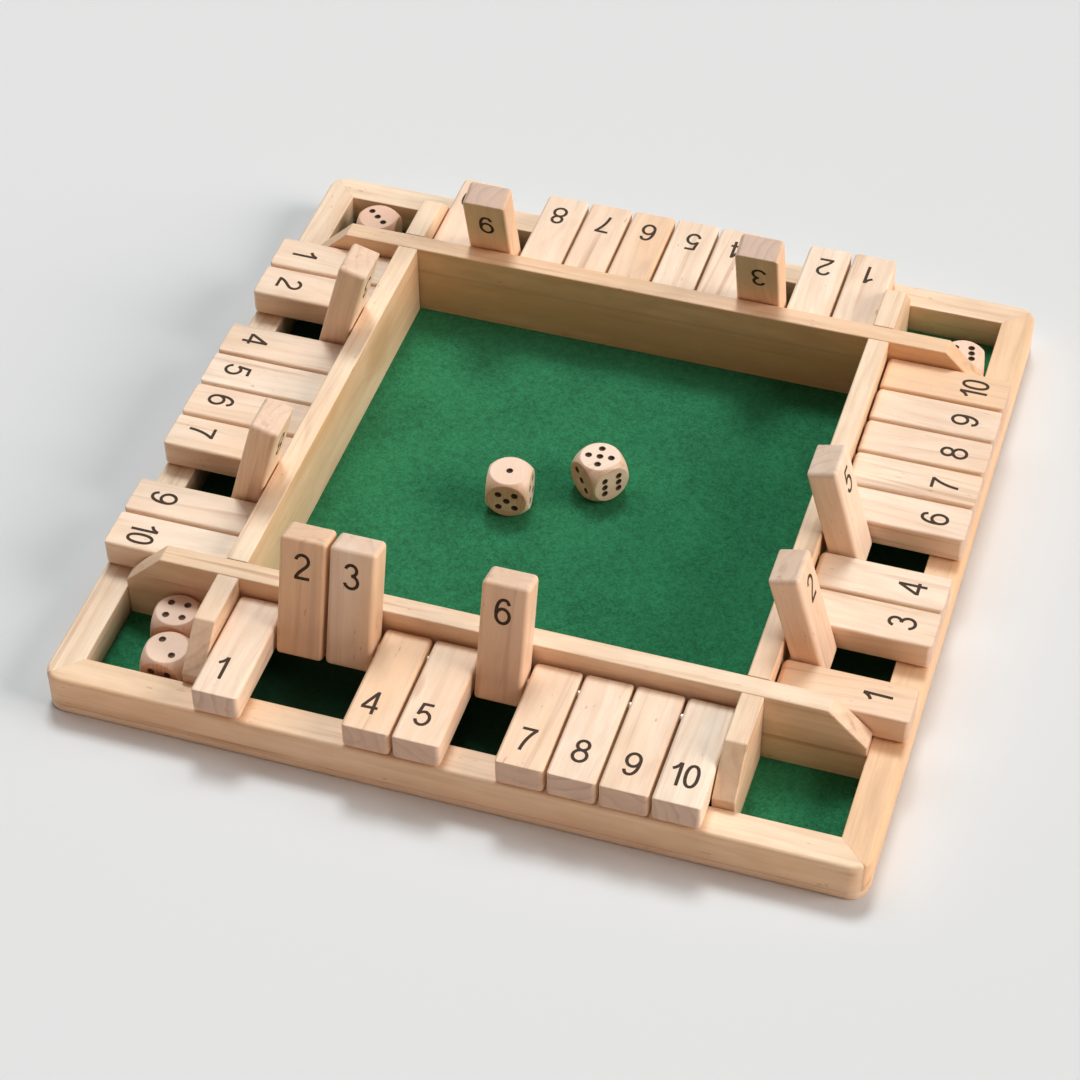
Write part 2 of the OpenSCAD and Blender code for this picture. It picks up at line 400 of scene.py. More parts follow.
def turned(profile, segments, closed=False):
    """A solid of revolution about Z from (radius, height) pairs.

    The profile starts and ends on the axis, or is closed into a ring.
    """
    verts, rings = [], []
    for radius, height in profile:
        if radius < TINY:
            verts.append((0, 0, height))
            rings.append([len(verts) - 1] * segments)
        else:
            start = len(verts)
            for k in range(segments):
                a = 2 * math.pi * k / segments
                verts.append((radius * math.cos(a), radius * math.sin(a), height))
            rings.append(list(range(start, start + segments)))
    faces = []
    pairs = list(zip(rings, rings[1:])) + ([(rings[-1], rings[0])] if closed else [])
    for low, high in pairs:
        for k in range(segments):
            j = (k + 1) % segments
            faces.append(tuple(dict.fromkeys((low[k], low[j], high[j], high[k]))))
    return mesh_of(verts, faces)


def joined(parts):
    """One mesh from (mesh, matrix) pairs."""
    verts, faces = [], []
    for mesh, matrix in parts:
        start = len(verts)
        verts += [tuple(matrix @ v.co) for v in mesh.vertices]
        faces += [tuple(start + i for i in p.vertices) for p in mesh.polygons]
    return mesh_of(verts, faces)


def shift(x=0.0, y=0.0, z=0.0):
    return Matrix.Translation((x, y, z))


def turn(degrees, axis="Z"):
    return Matrix.Rotation(math.radians(degrees), 4, axis)


def store(mesh, name, values):
    """A value or a vector for each vertex, for the materials to read."""
    flat = np.array([tuple(v) if isinstance(v, Vector) else v for v in values], dtype=np.float32)
    kind, field = ("FLOAT_VECTOR", "vector") if flat.ndim == 2 else ("FLOAT", "value")
    mesh.attributes.new(name, kind, "POINT").data.foreach_set(field, flat.ravel())


def stored(mesh, name):
    return [Vector(d.vector) if hasattr(d, "vector") else d.value
            for d in mesh.attributes[name].data]


# How warm the wood of a piece is, mostly from 0 to 1, as the photograph shows it: partly the wood's
# own tone, partly painted shade on pieces that stand in shade, such as the standing tiles and the
# dice in the pockets
PLAIN_TONE = 0.15
TONES_AND_PAINTED_SHADE = {
    "front_rail": 0.3, "right_rail": 0.75, "left_rail": -0.1,
    "back_inner_board": 0.6, "left_inner_board": -0.1,
    "front_tile_1": 0.1, "front_tile_2": 0.95, "front_tile_3": 0.25, "front_tile_4": 0.4,
    "front_tile_6": 0.45, "front_tile_9": 0.0, "front_tile_10": -0.2,
    "right_tile_1": 0.95, "right_tile_2": 0.45, "right_tile_3": 0.35, "right_tile_8": 0.3,
    "right_tile_9": 0.35, "right_tile_10": 0.9,
    "back_tile_2": 0.0, "back_tile_3": 0.8, "back_tile_6": 0.6, "back_tile_7": 0.45,
    "back_tile_8": 0.0, "back_tile_9": 0.9,
    "left_tile_2": 0.0, "left_tile_3": 0.4, "left_tile_5": -0.3, "left_tile_8": 0.5,
    "left_tile_10": -0.1,
    "die_3": 0.5, "die_4": 0.6, "die_5": 1.0, "die_6": 0.45}
# How much warmer the inner face of a board is painted than its top: painted light and shade for the
# warm light that falls on that face
PAINTED_INNER_FACE_LIGHT = {"left_inner_board": 0.75, "back_inner_board": 0.2}
# The standing tiles, whose end grain is painted paler than the others' as if lit, and their share
# of its darkness
PAINTED_LIT_END_SHARE = 0.5
PAINTED_LIT_ENDS = ("front_tile_2", "front_tile_3", "front_tile_6", "right_tile_2", "right_tile_5",
             "left_tile_3", "left_tile_8")
# The share of a face's normal along the grain from which it is end grain, and how much more it
# takes to be so fully
END_FROM, END_FADE = 0.55, 0.35
# The knot or dark figure of some pieces, and patches of painted shade and painted shadow on the
# left and back inner boards and on back tiles 3 and 9: middle and radii in the piece's own
# millimetres
MARKS_AND_PAINTED_SHADE = {"front_tile_6": ((2.4, -14, -6.7), (1.1, 21, 3)),
         "front_tile_2": ((4.3, -12, -6.7), (1.5, 22, 3)),
         "front_tile_5": ((-6.5, -16, 4.1), (1.2, 6, 2)),
         "back_tile_1": ((1.0, -19, 4.1), (0.9, 15, 2.5)),
         "back_tile_6": ((-4.5, -9, 4.1), (2.2, 6, 2)),
         # Back tiles 3 and 9: painted shade over the whole face
         "back_tile_3": ((1, -22, -7.2), (11, 40, 1.8)),
         "back_tile_9": ((-1, -24, -7.2), (11, 38, 1.8)),
         "right_tile_1": ((3.0, -30, 4.1), (1.3, 9, 2)),
         "right_tile_2": ((-2.0, -40, 0.5), (3.0, 2.5, 1.4)),
         # Left inner board: painted shadow of the standing left tile 3
         "left_inner_board": ((-43, 4, 19), (14, 4, 11)),
         # Back inner board: painted shade over the lower part of its inner face
         "back_inner_board": ((0, 5, 11), (190, 3.5, 13)),
         "right_rail": ((-112, -139, 16), (11, 2.5, 3))}
# A mark too far off to show
NO_MARK = ((0, 0, 999), (1, 1, 1))


def clamped(value):
    return min(max(value, 0), 1)


class Plank:
    """The cut of one piece from its tree: how its own X direction runs in the wood."""

    def __init__(self, seed, tilt=2.5, pith=(28, 75)):
        draw = random.Random(seed)
        self.turn = (turn(draw.uniform(0, 360), "X") @ turn(draw.uniform(-tilt, tilt), "Y")
                     @ turn(draw.uniform(-tilt, tilt), "Z")).to_3x3()
        self.offset = Vector((draw.uniform(-3, 3), draw.uniform(*pith) * MM, 0))

    def cut(self, mesh, into_plank=Matrix.Identity(4), node=None):
        """Stores for each vertex what wood() reads."""
        across = into_plank.to_3x3()
        store(mesh, "grain", [self.turn @ (into_plank @ v.co) + self.offset for v in mesh.vertices])
        # Painted light: the end grain of the standing tiles is made paler, as if lit
        share = PAINTED_LIT_END_SHARE if node in PAINTED_LIT_ENDS else 1.0
        store(mesh, "end", [share * clamped((abs((across @ v.normal).x) - END_FROM) / END_FADE)
                            for v in mesh.vertices])
        # The tone carries painted shade for pieces in shade, and painted warm light on the inner
        # face of some boards
        tone_and_painted_shade, painted_face_light = TONES_AND_PAINTED_SHADE.get(node, PLAIN_TONE), PAINTED_INNER_FACE_LIGHT.get(node, 0)
        store(mesh, "tone_and_painted_shade", [tone_and_painted_shade + painted_face_light * max(2 * v.normal.y - 1, 0) for v in mesh.vertices])
        middle, radii = MARKS_AND_PAINTED_SHADE.get(node, NO_MARK)
        store(mesh, "mark_and_painted_shade", [Vector((v.co[i] - middle[i] * MM) / (radii[i] * MM) for i in range(3))
                             for v in mesh.vertices])


def piece(name, mesh, body, look, node=None, smooth=True):
    """A finished object that rides on a body and may stand for a CAD node."""
    mesh.name = name
    obj = bpy.data.objects.new(name, mesh)
    bpy.context.scene.collection.objects.link(obj)
    mesh.materials.clear()
    mesh.materials.append(look)
    if smooth:
        mesh.shade_smooth()
        even = obj.modifiers.new("even_normals", "WEIGHTED_NORMAL")
        even.weight, even.keep_sharp = 100, True
    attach(obj, body)
    if node:
        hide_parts(node)
    return obj


# ---------------------------------------------------------------- tray
def rounded_square_ring(half, radius, z, steps=8):
    """Points at height z round a square with rounded corners, counter-clockwise."""
    ring = []
    for quarter in range(4):
        centre = Matrix.Rotation(quarter * math.pi / 2, 2) @ Vector((half - radius, half - radius))
        for k in range(steps + 1):
            a = quarter * math.pi / 2 + k / steps * math.pi / 2
            ring.append((centre.x + radius * math.cos(a), centre.y + radius * math.sin(a), z))
    return ring


def stacked(rings):
    """A closed solid from rings of equally many points, bottom first."""
    n = len(rings[0])
    verts = [p for ring in rings for p in ring]
    faces = [tuple(reversed(range(n)))]
    for r in range(len(rings) - 1):
        faces += [(r * n + i, r * n + (i + 1) % n, (r + 1) * n + (i + 1) % n, (r + 1) * n + i)
                  for i in range(n)]
    faces.append(tuple(range((len(rings) - 1) * n, len(rings) * n)))
    return mesh_of(verts, faces)


def base_board():
    ease, knee = BASE_EASE, 0.3 * BASE_EASE
    levels = ((ease, 0), (knee, knee), (0, ease), (0, BASE_T - ease), (knee, BASE_T - knee),
              (ease, BASE_T))
    mesh = stacked([rounded_square_ring(HALF - d, CORNER_R - d, z) for d, z in levels])
    Plank(BASE_SEED, tilt=0.8, pith=(90, 95)).cut(mesh, node="base_board")
    piece("base_board_wood", mesh, "tray", BASE_WOOD, "base_board")


RAIL_STEPS = 5
# The gap of a mitre and the chamfer beside it, and where the rails' middles start
MITRE_GAP, MITRE_CHAMFER = 0.006 * MM, 0.03 * MM
WALK_END, MIDDLE_END = POCKET - 1 * MM, POCKET - 2 * MM


def rail_path(d):
    """Places along the front rail's right half for a line that lies d inside the outer face."""
    radius = max(CORNER_R - d, 0)
    centre = HALF - CORNER_R
    bend = radius * math.pi / 4

    def at(s):
        if s < bend:
            a = -math.pi / 4 - s / radius
            return centre + radius * math.cos(a), -centre + radius * math.sin(a)
        corner = centre if radius > 0 else HALF - d
        return corner - (s - bend), -(HALF - d)

    reach = bend if radius > 0 else HALF - d - WALK_END
    walk = [reach * k / RAIL_STEPS for k in range(1, RAIL_STEPS + 1)]
    points = [at(s) for s in [MITRE_GAP, MITRE_GAP + MITRE_CHAMFER] + walk]
    return points + [(MIDDLE_END, -(HALF - d))]


def rail(side):
    low, high = BASE_T, RAIL_TOP
    # Section from the outer foot up, over the top and down the inner face
    section = [(RAIL_FOOT_EASE, low), (0, low + RAIL_FOOT_EASE)]
    section += [(RAIL_EASE * (1 - math.cos(a)), high - RAIL_EASE * (1 - math.sin(a)))
                for a in np.linspace(0, math.pi / 2, 6)]
    inner, knee, line = RAIL_INNER_EASE, 0.3 * RAIL_INNER_EASE, 4 * MM
    section += [(line, high), (RAIL_W - inner, high), (RAIL_W - knee, high - knee),
                (RAIL_W, high - inner), (RAIL_W, low), (line, low)]
    middle_d, middle_z = RAIL_W / 2, (low + high) / 2
    shrink = 1 - MITRE_CHAMFER / middle_d
    stations = []
    for k in range(RAIL_STEPS + 3):
        ring = []
        for d, z in section:
            if k == 0:
                d, z = middle_d + (d - middle_d) * shrink, middle_z + (z - middle_z) * shrink
            x, y = rail_path(d)[k]
            ring.append((x, y, z))
        stations.append(ring)
    left = [[(-x, y, z) for x, y, z in ring] for ring in stations]
    mesh = stacked(left + stations[::-1])
    mesh.flip_normals()
    name = SIDES[side] + "_rail"
    Plank(RAIL_SEED + side, tilt=1.0, pith=(30, 60)).cut(mesh, node=name)
    mesh.transform(turn(90 * side))
    piece(name + "_wood", mesh, "tray", FRAME_WOOD, name)


def board_mesh(length, cut_left, cut_right):
    """A board on edge along X, its foot at z 0, its middle at y 0."""
    half, height = length / 2, WALL_TOP - FELT_TOP
    outline = [(-half, 0), (half, 0)]
    outline += ([(half, height - END_CUT), (half - END_CUT, height)] if cut_right
                else [(half, height)])
    outline += ([(END_CUT - half, height), (-half, height - END_CUT)] if cut_left
                else [(-half, height)])
    mesh = prism([(z, x) for x, z in outline][::-1], -WALL_T / 2, WALL_T / 2, "y")

    def weight(middle, direction):
        near = 0.1 * MM
        if middle.z < near:
            return 0.0
        if abs(direction.y) > ALONG:
            return 0.9 if abs(middle.x) < half - near else 0.6
        return 1.0

    return bevelled(mesh, BOARD_EASE, 3, weight)


def bore(low, high, matrix=Matrix.Identity(4)):
    """A cutter for a rod's hole, along X from low to high before matrix moves it."""
    mesh = turned([(0, low), (BORE_R, low), (BORE_R, high), (0, high)], BORE_SIDES)
    mesh.transform(matrix @ turn(90, "Y"))
    return mesh


def rod_seat(matrix):
    """A cutter for a rod's blind hole, with its mouth at the origin before matrix moves it."""
    return bore(-MM, ROD_SEAT, matrix)


def inner_boards():
    for side, is_long in enumerate((True, False, True, False)):
        mesh = board_mesh(2 * POCKET if is_long else 2 * WALL_IN, is_long, is_long)
        if is_long:
            for x in (HINGE.y, -HINGE.y):
                hole = rod_seat(shift(x, WALL_T / 2, HINGE.z - FELT_TOP) @ turn(-90))
                mesh = boolean(mesh, hole, "DIFFERENCE")
        name = SIDES[side] + "_inner_board"
        Plank(BOARD_SEED + side, tilt=1.2, pith=(30, 70)).cut(mesh, node=name)
        mesh.transform(turn(90 * side) @ shift(0, -WALL_IN - WALL_T / 2, FELT_TOP))
        piece(name + "_wood", mesh, "tray", FRAME_WOOD, name)


def pocket_dividers():
    length = POCKET - WALL_OUT
    parts = []
    for k, (half_turn, mirrored) in enumerate(((0, 1), (0, -1), (180, 1), (180, -1))):
        mesh = board_mesh(length, False, True)
        mouth = shift(length / 2 - (POCKET + HINGE.y), mirrored * -WALL_T / 2, HINGE.z - FELT_TOP)
        mesh = boolean(mesh, rod_seat(mouth @ turn(90 * mirrored)), "DIFFERENCE")
        Plank(DIVIDER_SEED + k, tilt=2).cut(mesh)
        middle = shift(mirrored * (WALL_IN + WALL_T / 2), -WALL_OUT - length / 2, FELT_TOP)
        parts.append((mesh, turn(half_turn) @ middle @ turn(-90)))
    whole = joined(parts)
    for name in ("grain", "end", "tone_and_painted_shade", "mark_and_painted_shade"):
        store(whole, name, [value for mesh, _ in parts for value in stored(mesh, name)])
    piece("pocket_dividers_wood", whole, "tray", FRAME_WOOD, "pocket_dividers")


ROD_RINGS = 12


def hinge_rods():
    half = WALL_IN + ROD_SEAT - ROD_END_GAP
    inner = list(np.linspace(6 * MM - half, half - 6 * MM, ROD_RINGS))
    places = [-half, -half + ROD_EASE] + inner + [half - ROD_EASE, half]
    profile = [(0, -half)]
    profile += [(ROD_R - (ROD_EASE if abs(p) > half - TINY else 0), p) for p in places]
    profile += [(0, half)]
    rod = turned(profile, ROD_SIDES)
    parts = [(rod, turn(90 * side) @ shift(0, HINGE.y, HINGE.z) @ turn(90, "Y"))
             for side in range(4)]
    whole = joined(parts)
    own = [rod.vertices[v.index % len(rod.vertices)].co for v in whole.vertices]
    store(whole, "grain", [Vector((p.z, p.x, p.y)) for p in own])
    piece("hinge_rods_steel", whole, "tray", ROD_STEEL, "hinge_rods")


FELT_POINTS = 266
FELT_UNEVEN = 0.12 * MM
FELT_SMOOTHINGS = 2
# How far the felt under the rows of tiles goes to its painted shade colour: painted shade in the
# troughs, where the tiles and walls shut out the light
PAINTED_SHADE_UNDER_TILES = 0.85


def felt_mat():
    """A pressed felt sheet: its top is slightly uneven between the pieces that stand on it."""
    low, high, count = FELT_LOW, FELT_HIGH, FELT_POINTS
    xs = np.linspace(low.x, high.x, count)
    grid_x, grid_y = np.meshgrid(xs, xs)
    draw = np.random.default_rng(FELT_SEED)
    relief = draw.random((count, count))
    for _ in range(FELT_SMOOTHINGS):
        padded = np.pad(relief, 1, mode="edge")
        relief = (padded[1:-1, :-2] + padded[1:-1, 2:] + padded[:-2, 1:-1] + padded[2:, 1:-1]
                  + 2 * relief) / 6
    relief = (relief - relief.min()) / (relief.max() - relief.min())
    top = high.z - FELT_UNEVEN * relief
    verts = np.stack([grid_x.ravel(), grid_y.ravel(), top.ravel()], 1)
    edge = ([(0, i) for i in range(count)] + [(i, count - 1) for i in range(1, count)]
            + [(count - 1, i) for i in range(count - 2, -1, -1)]
            + [(i, 0) for i in range(count - 2, 0, -1)])
    index = [r * count + c for r, c in edge]
    foot = [(verts[i][0], verts[i][1], low.z) for i in index]
    start = count * count
    faces = [(r * count + c, r * count + c + 1, (r + 1) * count + c + 1, (r + 1) * count + c)
             for r in range(count - 1) for c in range(count - 1)]
    n = len(index)
    faces += [(index[(k + 1) % n], index[k], start + k, start + (k + 1) % n) for k in range(n)]
    faces.append(tuple(start + k for k in range(n))[::-1])
    mesh = mesh_of(list(map(tuple, verts)) + foot, faces)
    # Painted shade: the felt in the troughs under the rows of tiles is marked for darkening
    reach = [sorted((abs(v.co.x), abs(v.co.y))) for v in mesh.vertices]
    store(mesh, "shade", [PAINTED_SHADE_UNDER_TILES if near < WALL_IN and far > WALL_OUT else 0.0
                          for near, far in reach])
    mat = piece("green_felt", mesh, "tray", FELT, "felt_mat", smooth=False)


# ---------------------------------------------------------------- numbers
# The width of a stroke, the height of a digit, and how far it stands over the wood and sinks in
STROKE = 1.18
DIGIT_H = 10.1
DIGIT_DEPTH = 0.05


def arc(cx, cy, rx, ry, start, end, power=2.0, steps=28):
    """Points in millimetres on an ellipse, or a squarer curve for a power above 2."""
    points = []
    for k in range(steps + 1):
        a = math.radians(start + (end - start) * k / steps)
        c, s = math.cos(a), math.sin(a)
        points.append((cx + rx * math.copysign(abs(c) ** (2 / power), c),
                       cy + ry * math.copysign(abs(s) ** (2 / power), s)))
    return points


def bezier(a, b, c, d, steps=16):
    points = []
    for k in range(steps + 1):
        t = k / steps
        w = ((1 - t) ** 3, 3 * t * (1 - t) ** 2, 3 * t * t * (1 - t), t ** 3)
        points.append(tuple(sum(p[i] * f for p, f in zip((a, b, c, d), w)) for i in (0, 1)))
    return points


# Each digit's strokes, as centre lines in millimetres about its middle and above its base line
DIGITS = {
    "0": [arc(0, 5.05, 2.02, 4.52, 0, 360, power=2.25, steps=56)],
    "1": [[(0.95, 0), (0.95, 10.1)], bezier((-1.75, 7.1), (-0.6, 7.6), (0.4, 8.6), (0.75, 10.0))],
    "2": [arc(0.05, 7.25, 2.25, 2.32, 172, -6, steps=30)
          + bezier((2.29, 7.0), (2.25, 4.9), (-1.6, 3.4), (-2.35, 0.35))[1:],
          [(-2.75, 0.55), (2.65, 0.55)]],
    "3": [arc(-0.05, 7.5, 1.95, 2.07, 168, -90, steps=34), arc(-0.05, 2.98, 2.35, 2.45, 90, -168)],
    "4": [[(1.35, 0), (1.35, 10.1)], [(1.2, 9.6), (-2.55, 3.0)], [(-2.9, 2.85), (2.85, 2.85)]],
    "5": [[(-1.45, 9.55), (2.25, 9.55)], [(-1.25, 9.95), (-2.0, 4.75)],
          bezier((-2.1, 4.9), (-1.0, 6.5), (0.3, 6.3), (0.55, 6.25), steps=10)
          + arc(0.0, 3.35, 2.35, 2.87, 76, -165)[1:]],
    "6": [arc(0.02, 3.28, 2.3, 2.78, 0, 360, steps=48),
          bezier((-2.28, 3.2), (-2.5, 7.4), (-1.2, 9.62), (0.35, 9.58))
          + bezier((0.35, 9.58), (1.4, 9.58), (2.0, 8.9), (2.12, 7.7), steps=8)[1:]],
    "7": [[(-2.65, 9.55), (2.65, 9.55)],
          bezier((2.35, 9.6), (0.6, 7.4), (-0.75, 4.0), (-0.95, 0))],
    "8": [arc(0, 7.55, 1.98, 2.05, 0, 360, steps=44), arc(0, 2.98, 2.36, 2.46, 0, 360, steps=48)],
}
DIGITS["9"] = [[(-x, DIGIT_H - y) for x, y in stroke] for stroke in DIGITS["6"]]


def ribbon(points, low, high):
    """A closed band of STROKE's width along points; a path that ends where it starts is a ring."""
    closed = math.dist(points[0], points[-1]) < TINY
    pts = [Vector(p) for p in (points[:-1] if closed else points)]
    n = len(pts)
    left, right = [], []
    for i, p in enumerate(pts):
        before = pts[i - 1] if i or closed else p
        after = pts[(i + 1) % n] if i < n - 1 or closed else p
        along = (after - before).normalized()
        side = Vector((-along.y, along.x)) * STROKE / 2
        left.append(p + side)
        right.append(p - side)
    verts = [(q.x, q.y, z) for z in (low, high) for row in (left, right) for q in row]
    faces = []
    for i in range(n if closed else n - 1):
        j = (i + 1) % n
        faces += [(i, n + i, n + j, j)[::-1], (2 * n + i, 3 * n + i, 3 * n + j, 2 * n + j),
                  (i, j, 2 * n + j, 2 * n + i), (n + i, n + j, 3 * n + j, 3 * n + i)[::-1]]
    if not closed:
        for i in (0, n - 1):
            end = (i, 2 * n + i, 3 * n + i, n + i)
            faces.append(end[::-1] if i == 0 else end)
    mesh = mesh_of(verts, faces)
    work = bmesh.new()
    work.from_mesh(mesh)
    bmesh.ops.recalc_face_normals(work, faces=work.faces)
    work.to_mesh(mesh)
    work.free()
    return mesh


def digit_mesh(digit):
    """The digit's strokes as one flat solid, in metres, its foot sunk into the wood."""
    strokes = [ribbon(points, -DIGIT_DEPTH, DIGIT_DEPTH) for points in DIGITS[digit]]
    mesh = strokes[0]
    for other in strokes[1:]:
        mesh = boolean(mesh, other, "UNION")
    mesh.transform(Matrix.Scale(MM, 4))
    return mesh


DIGIT_MESHES = {digit: digit_mesh(digit) for digit in DIGITS}


# Where the digits of a number stand, in millimetres about its middle
PLACES = {1: (0,), 2: (-2.75, 2.45)}


def number_parts(number):
    """(mesh, matrix) pairs of a number about its own middle on the base line."""
    digits = str(number)
    return [(DIGIT_MESHES[digit], shift(x * MM)) for digit, x in zip(digits, PLACES[len(digits)])]


# ---------------------------------------------------------------- tiles
# How much the easing varies from tile to tile
EASE_FROM, EASE_TO = 0.85, 1.15


def tile_mesh(seed):
    """A tile about its hinge axis, lying along -Y, with its bore."""
    draw = random.Random(seed)
    half = TILE_W / 2
    outline = [(TOE, TILE_LOW), (HEEL, TILE_LOW), (HEEL, TILE_HIGH), (TOE, TILE_HIGH)]
    mesh = prism(outline, -half, half, "x")
    soft = draw.uniform(EASE_FROM, EASE_TO)

    def weight(middle, direction):
        on_top = middle.z > 0
        if abs(direction.y) > ALONG:
            return (0.6 if on_top else 0.8) * soft
        if abs(direction.z) > ALONG:
            return 0.85 * draw.uniform(EASE_FROM, EASE_TO)
        # Across the tile: the whole width at the heel's top, so that it swings clear of the board
        if on_top and middle.y > 0:
            return 1.0
        return (0.25 if on_top else 0.75) * soft

    mesh = bevelled(mesh, TILE_EASE, 4, weight)
    return boolean(mesh, bore(-half - MM, half + MM), "DIFFERENCE")


# How far each number sits from the middle of its tile, in millimetres, as the camera sees it
ACROSS = ((-1.8, 0.2, 0.0, -1.5, -1.0, -0.2, -0.9, 0.0, -0.2, -0.5),
          (0.0, 0.6, 0.3, -0.5, 0.6, -0.2, 0.0, -0.6, 0.0, -0.3),
          (0.0, 0.0, -0.8, -0.6, -0.5, 0.0, -0.3, 0.8, 0.0, 0.2),
          (-0.6, 0.0, 0.3, -1.1, -0.8, -1.2, -0.8, 0.2, -0.5, 0.7))
# From the free end of a tile to the foot of its number, in millimetres: on the upper face for
# each side, and on the lower face
BASE_LINE = (7.4, 7.4, 6.8, 6.8)
UNDER_LINE = 15.3
# How much the numbers vary: along the tile in millimetres, and in degrees
SLIP, SKEW = 0.3, 2


def tiles():
    for side, side_name in enumerate(SIDES):
        for number in range(1, TILES + 1):
            node = f"{side_name}_tile_{number}"
            joint = JOINTS[node]
            seed = 100 * (side + 1) + number
            draw = random.Random(seed + NUMBER_SEED)
            place = Matrix.Translation(joint["pos_m"]) @ turn(90 * side)
            # A tile that can turn down from its rest pose stands
            if joint["range_deg"][0] < -1:
                place = place @ turn(-STAND, "X")
            mesh = tile_mesh(seed)
            Plank(seed, tilt=3.5).cut(mesh, turn(90), node)
            mesh.transform(place)
            piece(node + "_wood", mesh, node, TILE_WOOD, node)
            across, along = ACROSS[side][number - 1] * MM, draw.uniform(-SLIP, SLIP) * MM
            crooked = turn(draw.uniform(-SKEW, SKEW))
            top = shift(across, TOE + BASE_LINE[side] * MM + along, TILE_HIGH) @ crooked
            under = (shift(across, TOE + UNDER_LINE * MM - along, TILE_LOW)
                     @ turn(180, "X") @ crooked)
            marks = joined([(digit, face @ matrix) for face in (top, under)
                            for digit, matrix in number_parts(number)])
            marks.transform(place)
            piece(node + "_numbers", marks, node, NUMBER_INK, smooth=False)


# ---------------------------------------------------------------- dice
DIE_HALF = size_of("die_1").z / 2
# The rounding ball's radius over half the die's width
DIE_BALL = 1.35
# PIP_CONE is how high the hollow's bottom edge lies over its middle
PIP_R, PIP_DEPTH, PIP_CONE, PIP_PITCH = 1.2 * MM, 0.9 * MM, 0.25 * MM, 3 * MM
PIP_LIP = 0.08 * MM
# The stain is a film of its own in the hollow: how thick, how far off the wood, how wide its brim
FILM, FILM_GAP, FILM_BRIM = 0.04 * MM, 0.01 * MM, 0.16 * MM
# Turn, then the pips on top, in front and on the right
DICE = ((8, 1, 5, 4), (-40, 5, 3, 6), (-1, 2, 4, 6), (3, 4, 1, 5), (5, 3, 1, 2), (11, 6, 4, 5))
FADED_DICE = ("die_3", "die_4")
PIPS = {1: ((0, 0),), 2: ((-1, 1), (1, -1)), 3: ((0, 0), (-1, 1), (1, -1)),
        4: ((-1, 1), (1, -1), (1, 1), (-1, -1)),
        5: ((0, 0), (-1, 1), (1, -1), (1, 1), (-1, -1)),
        6: ((-1, 1), (1, -1), (1, 1), (-1, -1), (-1, 0), (1, 0))}


def die_body():
    """A cube rounded by a ball: six flat discs whose rims are eased, on one smooth closed skin."""
    ball, ease = DIE_HALF * DIE_BALL, DIE_EASE
    # The radius of the flat discs
    rim = math.sqrt(ball ** 2 - DIE_HALF ** 2)
    spokes, rings_out, weld = 64, 10, 0.002 * MM
    work = bmesh.new()
    for facing in (Matrix.Identity(4), turn(90, "X"), turn(180, "X"), turn(270, "X"),
                   turn(90, "Y"), turn(270, "Y")):
        rings = []
        for radius, depth in ((rim - ease, 0), (rim - 0.35 * ease, 0.06 * ease),
                              (rim + 0.22 * ease, 0.38 * ease)):
            rings.append([Vector((radius * math.cos(a), radius * math.sin(a), DIE_HALF - depth))
                          for a in (2 * math.pi * k / spokes for k in range(spokes))])
        start = math.atan2(rim + ease, DIE_HALF)
        for step in range(1, rings_out + 1):
            ring = []
            for k in range(spokes):
                a = 2 * math.pi * k / spokes
                c, s = math.cos(a), math.sin(a)
                reach = math.atan(1 / max(abs(c), abs(s)))
                tilt = start + (reach - start) * (step - 1) / (rings_out - 1)
                ring.append(Vector((math.sin(tilt) * c, math.sin(tilt) * s, math.cos(tilt))) * ball)
            rings.append(ring)
        rows = [[work.verts.new(facing @ p) for p in ring] for ring in rings]
        work.faces.new(rows[0])
        for inner, outer in zip(rows, rows[1:]):
            for k in range(spokes):
                j = (k + 1) % spokes
                work.faces.new((inner[k], outer[k], outer[j], inner[j]))
    bmesh.ops.remove_doubles(work, verts=work.verts, dist=weld)
    bmesh.ops.recalc_face_normals(work, faces=work.faces)
    mesh = bpy.data.meshes.new("die")
    work.to_mesh(mesh)
    work.free()
    return mesh


def faces_of_die(top, front, right):
    """(pips, matrix to that face) pairs."""
    quarter = turn(90, "X")
    return ((top, shift()), (7 - top, turn(180, "X")), (front, quarter),
            (7 - front, turn(180) @ quarter), (right, turn(90) @ quarter),
            (7 - right, turn(270) @ quarter))


def dice():
    body = die_body()
    cone_edge = PIP_CONE - PIP_DEPTH
    hole = [(0, MM), (PIP_R + PIP_LIP, MM), (PIP_R + PIP_LIP, 0), (PIP_R, -PIP_LIP),
            (PIP_R, cone_edge), (0, -PIP_DEPTH)]
    drill_bit = turned(hole[::-1], PIP_SIDES)
    skin, gap = FILM, FILM_GAP
    outer_r, inner_r, brim_r = PIP_R - gap, PIP_R - gap - skin, PIP_R + FILM_BRIM
    outside = [(brim_r, 0.2 * gap), (outer_r, -PIP_LIP), (outer_r, cone_edge + gap),
               (0, gap - PIP_DEPTH)]
    inside = [(0, gap + skin - PIP_DEPTH), (inner_r, cone_edge + skin), (inner_r, -PIP_LIP),
              (brim_r, 0.2 * gap + 0.4 * skin)]
    film = turned(outside + inside, PIP_SIDES, closed=True)
    for i, (angle, top, front, right) in enumerate(DICE, 1):
        node = f"die_{i}"
        low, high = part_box(node)
        centre = (low + high) / 2
        place = Matrix.Translation(centre) @ turn(angle)
        spots = [face @ shift(PIP_PITCH * u, PIP_PITCH * v, DIE_HALF)
                 for pips, face in faces_of_die(top, front, right) for u, v in PIPS[pips]]
        mesh = boolean(body.copy(), joined([(drill_bit, m) for m in spots]), "DIFFERENCE")
        Plank(DIE_SEED + i, tilt=8).cut(mesh, turn(90), node)
        mesh.transform(place)
        piece(node + "_wood", mesh, node, DIE_WOOD, node)
        stain = joined([(film, m) for m in spots])
        stain.transform(place)
        look = FADED_INK if node in FADED_DICE else PIP_INK
        piece(node + "_pips", stain, node, look)


